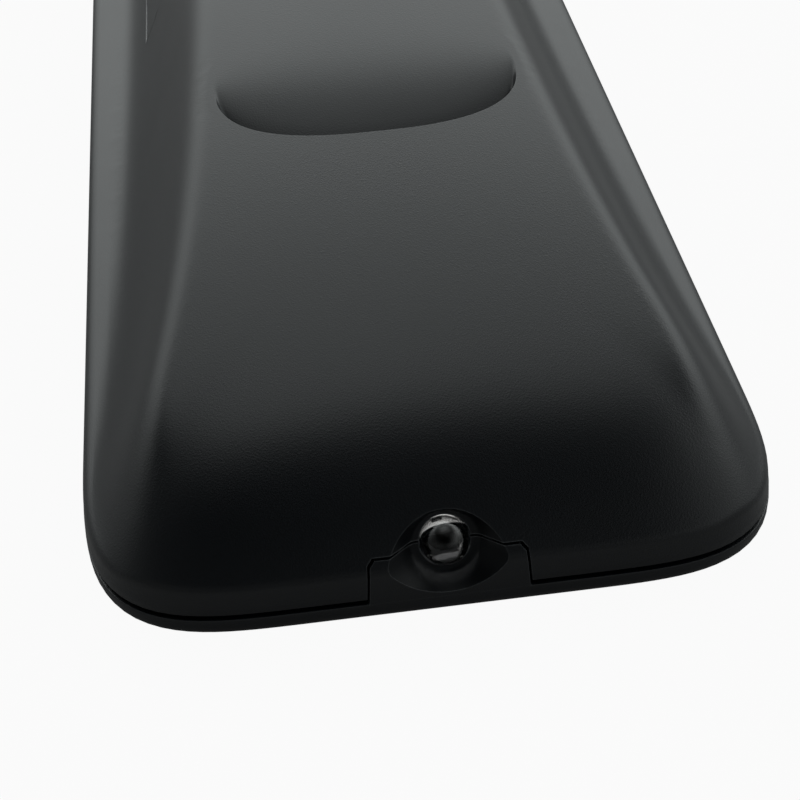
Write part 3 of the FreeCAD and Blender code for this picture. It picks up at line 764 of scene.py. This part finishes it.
def split_tone(made, axis, level, above):
    """Gives the part of a finish beyond a level of one object axis another colour (mm)."""
    mat, tree, shader, tone, where = made
    split = add(tree, "SeparateXYZ")
    tree.links.new(where.outputs["Object"], split.inputs[0])
    over = number(tree, "GREATER_THAN", split.outputs[axis], level * MM)
    tree.links.new(blend(tree, over, tone, above), shader.inputs["Base Color"])
    return mat


def board_finish():
    """Green solder mask with tracks under it, and bare laminate at the board's edges."""
    mat, tree, shader, tone, where = finish("board_laminate", (0.006, 0.045, 0.02), (0.009, 0.06, 0.026), 0.3, 900.0)
    tracks = add(tree, "TexBrick", offset=0.35, Scale=1.0, Color1=(0, 0, 0, 1), Color2=(0, 0, 0, 1),
                 Mortar=(1, 1, 1, 1), Mortar_Size=0.00016, Mortar_Smooth=0.1, Brick_Width=0.0054, Row_Height=0.0011)
    tree.links.new(where.outputs["Object"], tracks.inputs["Vector"])
    lined = blend(tree, tracks.outputs["Color"], tone, (0.016, 0.11, 0.045))
    split = add(tree, "SeparateXYZ")
    tree.links.new(add(tree, "NewGeometry").outputs["Normal"], split.inputs[0])
    side = number(tree, "LESS_THAN", number(tree, "ABSOLUTE", split.outputs["Z"]), 0.5)
    tree.links.new(blend(tree, side, lined, (0.42, 0.34, 0.16)), shader.inputs["Base Color"])
    return mat


def clear_resin():
    mat, tree, shader = new_material("emitter_clear")
    slow = add(tree, "TexNoise", Scale=900.0, Detail=1.0)
    tree.links.new(add(tree, "TexCoord").outputs["Object"], slow.inputs["Vector"])
    tree.links.new(between(tree, slow.outputs["Fac"], 0.01, 0.05), shader.inputs["Roughness"])
    shader.inputs["Base Color"].default_value = (0.97, 0.98, 0.985, 1)
    shader.inputs["Transmission Weight"].default_value = 1.0
    shader.inputs["IOR"].default_value = 1.52
    shadow = add(tree, "LightPath").outputs["Is Shadow Ray"]
    to_output(tree, mixed(tree, shadow, shader.outputs[0], add(tree, "BsdfTransparent").outputs[0]))
    return mat


def metal(name, low, high, roughness, scale, stretch=None):
    return finish(name, low, high, roughness, scale, metal=1.0, stretch=stretch)[0]


PILL_LOW_Z, SLEEVE_END_X = 3.995, 10.6
tinned = metal("lead_metal", (0.62, 0.61, 0.6), (0.74, 0.73, 0.71), 0.28, 2400.0, (4.0, 0.6, 4.0))
nickel = metal("contact_metal", (0.62, 0.6, 0.57), (0.76, 0.74, 0.71), 0.24, 1500.0, (0.5, 4.0, 4.0))
can = metal("can_metal", (0.56, 0.56, 0.55), (0.7, 0.7, 0.69), 0.3, 1200.0)
silicone = split_tone(finish("silicone", (0.25, 0.26, 0.27), (0.31, 0.32, 0.33), 0.55, 1800.0, bump=0.2),
                      "Z", PILL_LOW_Z, (0.012, 0.012, 0.013))
silicone.node_tree.nodes["Principled BSDF"].inputs["Subsurface Weight"].default_value = 0.12
silicone.node_tree.nodes["Principled BSDF"].inputs["Subsurface Scale"].default_value = 0.0006
mat_silicone = finish("mat_silicone", (0.24, 0.25, 0.26), (0.3, 0.31, 0.32), 0.55, 1500.0, bump=0.2)[0]
resin = finish("chip_resin", (0.01, 0.01, 0.011), (0.018, 0.018, 0.019), 0.62, 4200.0, bump=0.5)[0]
sleeve = split_tone(finish("capacitor_sleeve", (0.008, 0.012, 0.045), (0.011, 0.017, 0.06), 0.3, 1200.0),
                    "X", SLEEVE_END_X, (0.5, 0.51, 0.52))
ceramic = finish("passive_ceramic", (0.3, 0.21, 0.13), (0.42, 0.31, 0.21), 0.5, 3000.0, bump=0.3)[0]
dark_sleeve = finish("cell_sleeve", (0.016, 0.019, 0.024), (0.022, 0.026, 0.032), 0.26, 700.0)[0]
band_sleeve = finish("cell_band", (0.42, 0.44, 0.46), (0.5, 0.52, 0.54), 0.26, 700.0)[0]
cell_steel = metal("cell_steel", (0.6, 0.59, 0.57), (0.72, 0.71, 0.69), 0.27, 1600.0)
sign_grey = finish("sign_print", (0.42, 0.43, 0.44), (0.5, 0.51, 0.52), 0.5, 5000.0, bump=0.3)[0]
pad_carbon = finish("pad_carbon", (0.014, 0.014, 0.015), (0.022, 0.022, 0.023), 0.6, 5200.0, bump=0.4)[0]
CARRIED = {"circuit_board": board_finish(), "keypad_mat": mat_silicone, "controller_chip": resin, "resonator": can,
           "reservoir_capacitor": sleeve, "chip_passives": ceramic, "contact_positive": nickel,
           "contact_negative": nickel, "contact_bridge": nickel, "negative_spring": nickel, "bridge_spring": nickel,
           "ir_led_leads": tinned}
for name in KEYS:
    CARRIED[name + "_plunger"] = silicone
for node, mat in CARRIED.items():
    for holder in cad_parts[node].material_slots:
        holder.material = mat


# Emitter: clear dome with the lead frame inside it
def turned_y(profile, count, x=0.0, z=0.0, bands=None):
    """Closed solid turned about a line along Y; profile is (y, radius) from one end to the other, in mm."""
    turn = np.linspace(0, 2 * math.pi, count, endpoint=False)
    bm = tube([np.column_stack([x + r * np.cos(turn), np.full(count, y), z + r * np.sin(turn)]) for y, r in profile])
    if bands:
        bm.faces.ensure_lookup_table()
        for f, band in zip(bm.faces, np.repeat(bands, count)):
            f.material_index = int(band)
        bm.faces[-2].material_index, bm.faces[-1].material_index = bands[0], bands[-1]
    return bm


def merged(name, *forms):
    """One object of several closed bmesh forms."""
    whole = bmesh.new()
    spare = bpy.data.meshes.new("spare")
    for form in forms:
        form.to_mesh(spare)
        form.free()
        whole.from_mesh(spare)
    bpy.data.meshes.remove(spare)
    return to_object(whole, name)


TIP_Y = 0.35 - HALF_L
dome = [(TIP_Y + 1.5 * (1 - math.cos(a)), 1.5 * math.sin(a)) for a in np.linspace(0.02, math.pi / 2, 18)]
dome += [(TIP_Y + back, radius) for back, radius in (
    (2.4, 1.5), (3.4, 1.5), (4.92, 1.5), (5.0, 1.58), (5.02, 1.84), (5.08, 1.9), (5.72, 1.9), (5.8, 1.82), (5.8, 0.6))]
led = to_object(turned_y(dome, 72, z=EMITTER_Z), "emitter_lens")
smooth(led, 40.0)
dress(led, clear_resin())
place(led, "case", "ir_led")

CUP_Y = TIP_Y + 2.75
cup = [(CUP_Y + back, radius) for back, radius in (
    (0.2, 0.02), (0.19, 0.3), (0.03, 0.62), (0.0, 0.68), (0.03, 0.76), (0.12, 0.8), (1.0, 0.62), (1.3, 0.35),
    (1.3, 0.02))]


def bar(points, half, x=0.0):
    """Bent bar of square section along points (y, z), for the posts and the die."""
    rings = []
    for i, (y, z) in enumerate(points):
        a, b = points[max(i - 1, 0)], points[min(i + 1, len(points) - 1)]
        t = Vector((0, b[0] - a[0], b[1] - a[1])).normalized()
        up = Vector((1, 0, 0)).cross(t) * half
        p, side = Vector((x, y, z)), Vector((half, 0, 0))
        rings.append([p - side - up, p + side - up, p + side + up, p - side + up])
    return tube(rings)


def rod(points, radius, sides=10):
    """Round wire through points (x, y, z)."""
    rings = []
    for i, p in enumerate(points):
        t = (Vector(points[min(i + 1, len(points) - 1)]) - Vector(points[max(i - 1, 0)])).normalized()
        u = t.orthogonal().normalized()
        v = t.cross(u)
        rings.append([Vector(p) + (u * math.cos(a) + v * math.sin(a)) * radius
                      for a in np.linspace(0, 2 * math.pi, sides, endpoint=False)])
    return tube(rings)


def post(start, half, x):
    """Post from beside the cup, bent up a little where it leaves the lens."""
    back_y = TIP_Y + 5.75
    return bar([(start, EMITTER_Z), (back_y - 1.6, EMITTER_Z), (back_y - 0.9, EMITTER_Z + 0.1),
                (back_y, EMITTER_Z + 0.3)], half, x)


def wire(radius, *points):
    """Wire in the lens; points are (x, distance behind the cup, height above the axis)."""
    return rod([(x, CUP_Y + back, EMITTER_Z + up) for x, back, up in points], radius)


posts = merged("emitter_lead_frame", turned_y(cup, 40, x=-0.1, z=EMITTER_Z), post(CUP_Y + 1.1, 0.24, -1.1),
               post(CUP_Y + 0.25, 0.22, 1.14), wire(0.22, (-0.9, 1.15, 0), (-0.5, 1.12, 0), (-0.1, 1.15, 0)),
               wire(0.025, (-0.1, 0.03, 0), (0.15, -0.1, 0.05), (0.55, -0.18, 0.05), (0.95, 0, 0), (1.12, 0.3, 0)))
smooth(posts, 40.0)
dress(posts, tinned)
place(posts, "case")
die = merged("emitter_die", bar([(CUP_Y + 0.02, EMITTER_Z), (CUP_Y + 0.22, EMITTER_Z)], 0.15, -0.1))
dress(die, resin)
place(die, "case")


# Cells: sleeve in two tones over a steel can, with the raised nub and their signs
def prism_at(loops, low, high):
    """Closed flat pieces with their outlines in XY, between two heights."""
    return tube(*[[[(x, y, z) for x, y in loop] for z in (low, high)] for loop in loops])


def wrapped(loops, x, height_z, radius, lift):
    """Thin print wrapped on a cell: outlines in XY, laid on the cylinder's top."""
    def laid(loop, r):
        return [(x + r * math.sin(u / radius), v, height_z + r * math.cos(u / radius)) for u, v in loop]
    return tube(*[[laid(loop, radius - 0.03), laid(loop, radius + lift)] for loop in loops])


def block(x0, x1, y0, y1):
    return [(x0, y0), (x1, y0), (x1, y1), (x0, y1)]


# Profile of a cell from each end to its middle: (distance, radius, 0 dark sleeve, 1 light band or 2 steel)
CELL_NUB_END = [(0.0, 0.3, 2), (0.0, 1.65, 2), (0.08, 1.84, 2), (0.22, 1.9, 2), (0.88, 1.9, 2), (0.95, 2.1, 2),
                (1.0, 3.9, 2), (1.0, 4.2, 0), (0.92, 4.45, 0), (0.93, 4.8, 0), (1.02, 5.05, 0), (1.2, 5.2, 0),
                (1.5, 5.25, 1), (12.5, 5.25, 0)]
CELL_FLAT_END = [(1.2, 5.25, 0), (0.55, 5.2, 0), (0.2, 5.05, 0), (0.04, 4.8, 0), (0.0, 4.5, 0), (0.06, 4.25, 2),
                 (0.1, 4.1, 2), (0.1, 0.3, 2)]


def dress_cell(node, side):
    low, high = ([v / MM for v in corner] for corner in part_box(node))
    x, z = side * CELL_X, CELL_Z
    nub_y, flat_y, way = (low[1], high[1], 1.0) if side < 0 else (high[1], low[1], -1.0)
    profile = [(nub_y + way * d, r) for d, r, _ in CELL_NUB_END] + [(flat_y - way * d, r) for d, r, _ in CELL_FLAT_END]
    bands = [band for _, _, band in CELL_NUB_END + CELL_FLAT_END]
    cell = to_object(turned_y(profile, 72, x=x, z=z, bands=bands[:-1]), node + "_dressed")
    for mat in (dark_sleeve, band_sleeve, cell_steel):
        cell.data.materials.append(mat)
    cell.data.shade_smooth()
    cell.data.set_sharp_from_angle(angle=math.radians(40))
    place(cell, "case", node)

    def mark(name, mat, *blocks):
        piece = merged(node + name, wrapped(blocks, x, z, CELL_R, 0.012))
        dress(piece, mat)
        place(piece, "case")
    plus_y, minus_y = nub_y + way * 7.0, flat_y - way * 4.5
    mark("_signs", dark_sleeve, block(-1.4, 1.4, plus_y - 0.3, plus_y + 0.3),
         block(-0.3, 0.3, plus_y + 0.3, plus_y + 1.4), block(-0.3, 0.3, plus_y - 1.4, plus_y - 0.3))
    mark("_minus", band_sleeve, block(-1.4, 1.4, minus_y - 0.3, minus_y + 0.3))


dress_cell("cell_left", -1)
dress_cell("cell_right", 1)


# Board: contact combs under the plungers, and the chip's pins
def comb(x, distance):
    loops = []
    for i in range(-3, 4):
        at = i * 0.4
        reach = math.sqrt(1.5 ** 2 - at * at) - 0.1
        loops.append(block(x + at - 0.12, x + at + 0.12, distance - HALF_L - reach, distance - HALF_L + reach))
    return loops


loops = []
for name in KEYS:
    for side in (-1, 1) if name in ROCKERS else (0,):
        low, high = ([v / MM for v in corner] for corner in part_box(name + "_plunger"))
        y = (low[1] + high[1]) / 2 if side == 0 else (low[1] + 1.6 if side < 0 else high[1] - 1.6)
        loops += comb((low[0] + high[0]) / 2, y + HALF_L)
combs = to_object(prism_at(loops, BOARD_LOW - 0.03, BOARD_LOW + 0.02), "contact_combs")
dress(combs, pad_carbon)
place(combs, "case")
low, high = ([v / MM for v in corner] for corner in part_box("controller_chip"))
pins = []
for y in [low[1] + 1.0 + i * (high[1] - low[1] - 2.0) / 6 for i in range(7)]:
    for edge, out in ((low[0], -1), (high[0], 1)):
        z = (low[2] + high[2]) / 2
        bend = ((-0.3, z), (0.35, z), (0.6, z - 0.15), (0.7, BOARD_TOP + 0.25), (0.85, BOARD_TOP + 0.1),
                (1.25, BOARD_TOP + 0.1))
        pins.append(rod([(edge + out * reach, y, up) for reach, up in bend], 0.1, 6))
pins = merged("chip_pins", *pins)
dress(pins, tinned)
place(pins, "case")


# Signs printed on the keys; u runs to +X and v towards the emitter end
def arc(cu, cv, r0, r1, start, stop, steps=28):
    a = np.radians(np.linspace(start, stop, steps))
    outer = [(cu + r1 * math.cos(t), cv + r1 * math.sin(t)) for t in a]
    return outer + [(cu + r0 * math.cos(t), cv + r0 * math.sin(t)) for t in a[::-1]]


def dot(cu, cv, r):
    return [(cu + r * math.cos(t), cv + r * math.sin(t)) for t in np.linspace(0, 2 * math.pi, 28, endpoint=False)]


def stroke(a, b, half=0.15):
    ax, ay, bx, by = *a, *b
    size = math.hypot(bx - ax, by - ay)
    nx, ny = -(by - ay) / size * half, (bx - ax) / size * half
    return [(ax + nx, ay + ny), (ax - nx, ay - ny), (bx - nx, by - ny), (bx + nx, by + ny)]


def shifted(loops, du, dv):
    return [[(u + du, v + dv) for u, v in loop] for loop in loops]


SPEAKER = [[(-1.5, -0.5), (-0.8, -0.5), (0.1, -1.2), (0.1, 1.2), (-0.8, 0.5), (-1.5, 0.5)]]
PLUS = [stroke((-0.9, 0), (0.9, 0)), stroke((0, 0.15), (0, 0.9)), stroke((0, -0.9), (0, -0.15))]
MINUS = [stroke((-0.9, 0), (0.9, 0))]
GEAR = [arc(0, 0, 0.55, 0.95, 0, 180), arc(0, 0, 0.55, 0.95, 180, 360)]
GEAR += [stroke((0.9 * math.cos(t), 0.9 * math.sin(t)), (1.35 * math.cos(t), 1.35 * math.sin(t)), 0.2)
         for t in np.arange(8) * math.pi / 4]
SUN = [dot(0, 0, 0.6)]
SUN += [stroke((0.95 * math.cos(t), 0.95 * math.sin(t)), (1.4 * math.cos(t), 1.4 * math.sin(t)), 0.11)
        for t in np.arange(8) * math.pi / 4]
LINK = [arc(-0.7, 0, 0.38, 0.64, 50, 310), arc(0.7, 0, 0.38, 0.64, -130, 130), stroke((-0.45, 0), (0.45, 0), 0.13)]


def arrow(angle, r):
    """Chevron at distance r from the ring's centre, pointing outwards."""
    c, s = math.cos(math.radians(angle)), math.sin(math.radians(angle))
    tip, half = (c * (r + 0.6), s * (r + 0.6)), 0.14
    wing = [(c * (r - 0.5) - s * w, s * (r - 0.5) + c * w) for w in (-1.1, 1.1)]
    return [stroke(wing[0], tip, half), stroke(wing[1], tip, half)]


RING_R = (RING_IN + RING_OUT) / 2
SIGNS = {
    "power": (-SIDE_X, "power", [arc(0, 0, 1.15, 1.45, 125, 415), stroke((0, 0.4), (0, 1.75))]),
    "source": (SIDE_X, "power", [stroke((-0.6, 1.2), (1.5, 1.2)), stroke((1.36, 1.2), (1.36, -1.2)),
                                 stroke((1.5, -1.2), (-0.6, -1.2)), stroke((-1.7, 0), (0.2, 0)),
                                 [(0.1, 0.6), (0.8, 0), (0.1, -0.6)]]),
    "mute": (0, -7.0, SPEAKER + [stroke((0.6, 0.6), (1.7, -0.6), 0.13), stroke((0.6, -0.6), (1.7, 0.6), 0.13)]),
    "mode": (0, 7.0, [dot(-0.75, -1.0, 0.42), dot(0.85, -0.75, 0.42), stroke((-0.45, -1.0), (-0.45, 1.0), 0.1),
                      stroke((1.15, -0.75), (1.15, 1.3), 0.1), stroke((-0.55, 0.95), (1.25, 1.25), 0.2)]),
    "volume": (-SIDE_X, 0.0, shifted(PLUS, 0, 8.2) + shifted(MINUS, 0, -8.2) + shifted(SPEAKER, 0.1, 0)
               + [arc(0.2, 0, 0.75, 0.98, -50, 50), arc(0.2, 0, 1.3, 1.53, -50, 50)]),
    "woofer": (SIDE_X, 0.0, shifted(PLUS, 0, 8.2) + shifted(MINUS, 0, -8.2)
               + [arc(0, 0, 1.15, 1.4, 0, 180), arc(0, 0, 1.15, 1.4, 180, 360), dot(0, 0, 0.5)]),
    "right": (0, "ring", arrow(0, RING_R)), "down": (0, "ring", arrow(270, RING_R)),
    "left": (0, "ring", arrow(180, RING_R)), "up": (0, "ring", arrow(90, RING_R)),
    "play": (0, "ring", [[(-1.7, -1.1), (-1.7, 1.1), (0.0, 0)], stroke((0.75, -1.1), (0.75, 1.1), 0.2),
                         stroke((1.5, -1.1), (1.5, 1.1), 0.2)]),
    "pair": (-SIDE_X, "bottom", LINK), "settings": (0, "bottom", GEAR), "light": (SIDE_X, "bottom", SUN),
}
for name, (x, row, loops) in SIGNS.items():
    distance = ROWS[row] if isinstance(row, str) else ROWS["rocker"] + row
    flat = [[(x + u, distance - HALF_L - v) for u, v in loop] for loop in loops]
    sign = to_object(prism_at(flat, KEY_LOW - 0.008, KEY_LOW + 0.03), name + "_sign")
    dress(sign, sign_grey)
    place(sign, name)


# World, fitted to the photo's shading: light ahead of the remote and overhead, nearly dark behind the camera.
# Lobes are (strength, elevation, width above it, width below it, azimuth from +Y towards +X, width round)
LIGHT_BASE, LIGHT_TINT, SEEN_THROUGH = 0.01, (0.955, 1.0, 0.995, 1), 0.55
LIGHT_LOBES = [(2.0, 38.0, 11.0, 34.0, 12.0, 0.78), (0.06, 12.0, 30.0, 22.0, -55.0, 0.35),
               (0.4, 30.0, 22.0, 22.0, 100.0, 0.3), (0.26, 18.0, 14.0, 16.0, 145.0, 0.16),
               (0.18, 18.0, 14.0, 16.0, -140.0, 0.16)]
TOP_STRENGTH, TOP_ELEVATION, TOP_POWER = 1.2, math.radians(72.0), 15.0


def studio():
    world = bpy.data.worlds.new("studio")
    bpy.context.scene.world = world
    world.use_nodes = True
    tree = world.node_tree
    tree.nodes.clear()
    link = tree.links.new
    split = add(tree, "SeparateXYZ")
    link(add(tree, "TexCoord").outputs["Generated"], split.inputs[0])
    x, y, z = split.outputs

    def maths(operation, *values):
        return number(tree, operation, *values)
    height = maths("ARCSINE", z)
    level = maths("SQRT", maths("MAXIMUM", maths("SUBTRACT", 1.0, maths("MULTIPLY", z, z)), 1e-5))

    def lobe(strength, elevation, wide_up, wide_down, azimuth, wide_round):
        above = maths("GREATER_THAN", height, math.radians(elevation))
        width = maths("MULTIPLY_ADD", above, math.radians(wide_up - wide_down), math.radians(wide_down))
        up = maths("DIVIDE", maths("SUBTRACT", height, math.radians(elevation)), width)
        turn = math.radians(azimuth)
        along = maths("MULTIPLY_ADD", y, math.cos(turn), maths("MULTIPLY", x, math.sin(turn)))
        side = maths("DIVIDE", maths("SUBTRACT", 1.0, maths("DIVIDE", along, level)), wide_round)
        squares = maths("MULTIPLY_ADD", up, up, maths("MULTIPLY", side, side))
        return maths("MULTIPLY", maths("EXPONENT", maths("MULTIPLY", squares, -1.0)), strength)
    total = LIGHT_BASE
    for values in LIGHT_LOBES:
        total = maths("ADD", lobe(*values), total)
    cosine = maths("MULTIPLY_ADD", y, math.cos(TOP_ELEVATION), maths("MULTIPLY", z, math.sin(TOP_ELEVATION)))
    overhead = maths("EXPONENT", maths("MULTIPLY_ADD", cosine, TOP_POWER, -TOP_POWER))
    total = maths("ADD", maths("MULTIPLY", overhead, TOP_STRENGTH), total)
    lit = add(tree, "Background", Color=LIGHT_TINT)
    link(total, lit.inputs["Strength"])
    white = add(tree, "Background", Color=(1, 1, 1, 1))
    rays = add(tree, "LightPath")
    through = maths("MULTIPLY", rays.outputs["Is Transmission Ray"], SEEN_THROUGH)
    plain = maths("MAXIMUM", rays.outputs["Is Camera Ray"], through)
    link(mixed(tree, plain, lit.outputs[0], white.outputs[0]), add(tree, "OutputWorld").inputs[0])


studio()


# Floor: white to the camera, with the remote's shadow, and seen through from below; it shines a little far away
FLOOR_NEAR, FLOOR_FAR, FLOOR_TONE = 0.045, 0.3, 0.3


def floor_material():
    mat, tree, shader = new_material("floor")
    shader.inputs["Base Color"].default_value = (FLOOR_TONE, FLOOR_TONE, FLOOR_TONE, 1)
    shader.inputs["Roughness"].default_value = 0.9
    shader.inputs["Specular IOR Level"].default_value = 0.1
    rays = add(tree, "LightPath")
    where = add(tree, "NewGeometry")
    split = add(tree, "SeparateXYZ")
    tree.links.new(where.outputs["Position"], split.inputs[0])
    far = between(tree, split.outputs["Y"], FLOOR_NEAR, FLOOR_FAR, 0.0, 0.45)
    seen = number(tree, "MAXIMUM", rays.outputs["Is Camera Ray"], rays.outputs["Is Transmission Ray"])
    share = number(tree, "MAXIMUM", number(tree, "MULTIPLY", seen, 0.95),
                   number(tree, "MULTIPLY", rays.outputs["Is Glossy Ray"], far))
    lit = mixed(tree, share, shader.outputs[0], add(tree, "Emission").outputs[0])
    below = number(tree, "MULTIPLY", where.outputs["Backfacing"], rays.outputs["Is Camera Ray"])
    to_output(tree, mixed(tree, below, lit, add(tree, "BsdfTransparent").outputs[0]))
    return mat


bm = bmesh.new()
bmesh.ops.create_grid(bm, x_segments=8, y_segments=8, size=1500.0)
floor = to_object(bm, "floor")
floor.location.z = -0.00002
dress(floor, floor_material())

bpy.context.scene.view_settings.view_transform = "Standard"
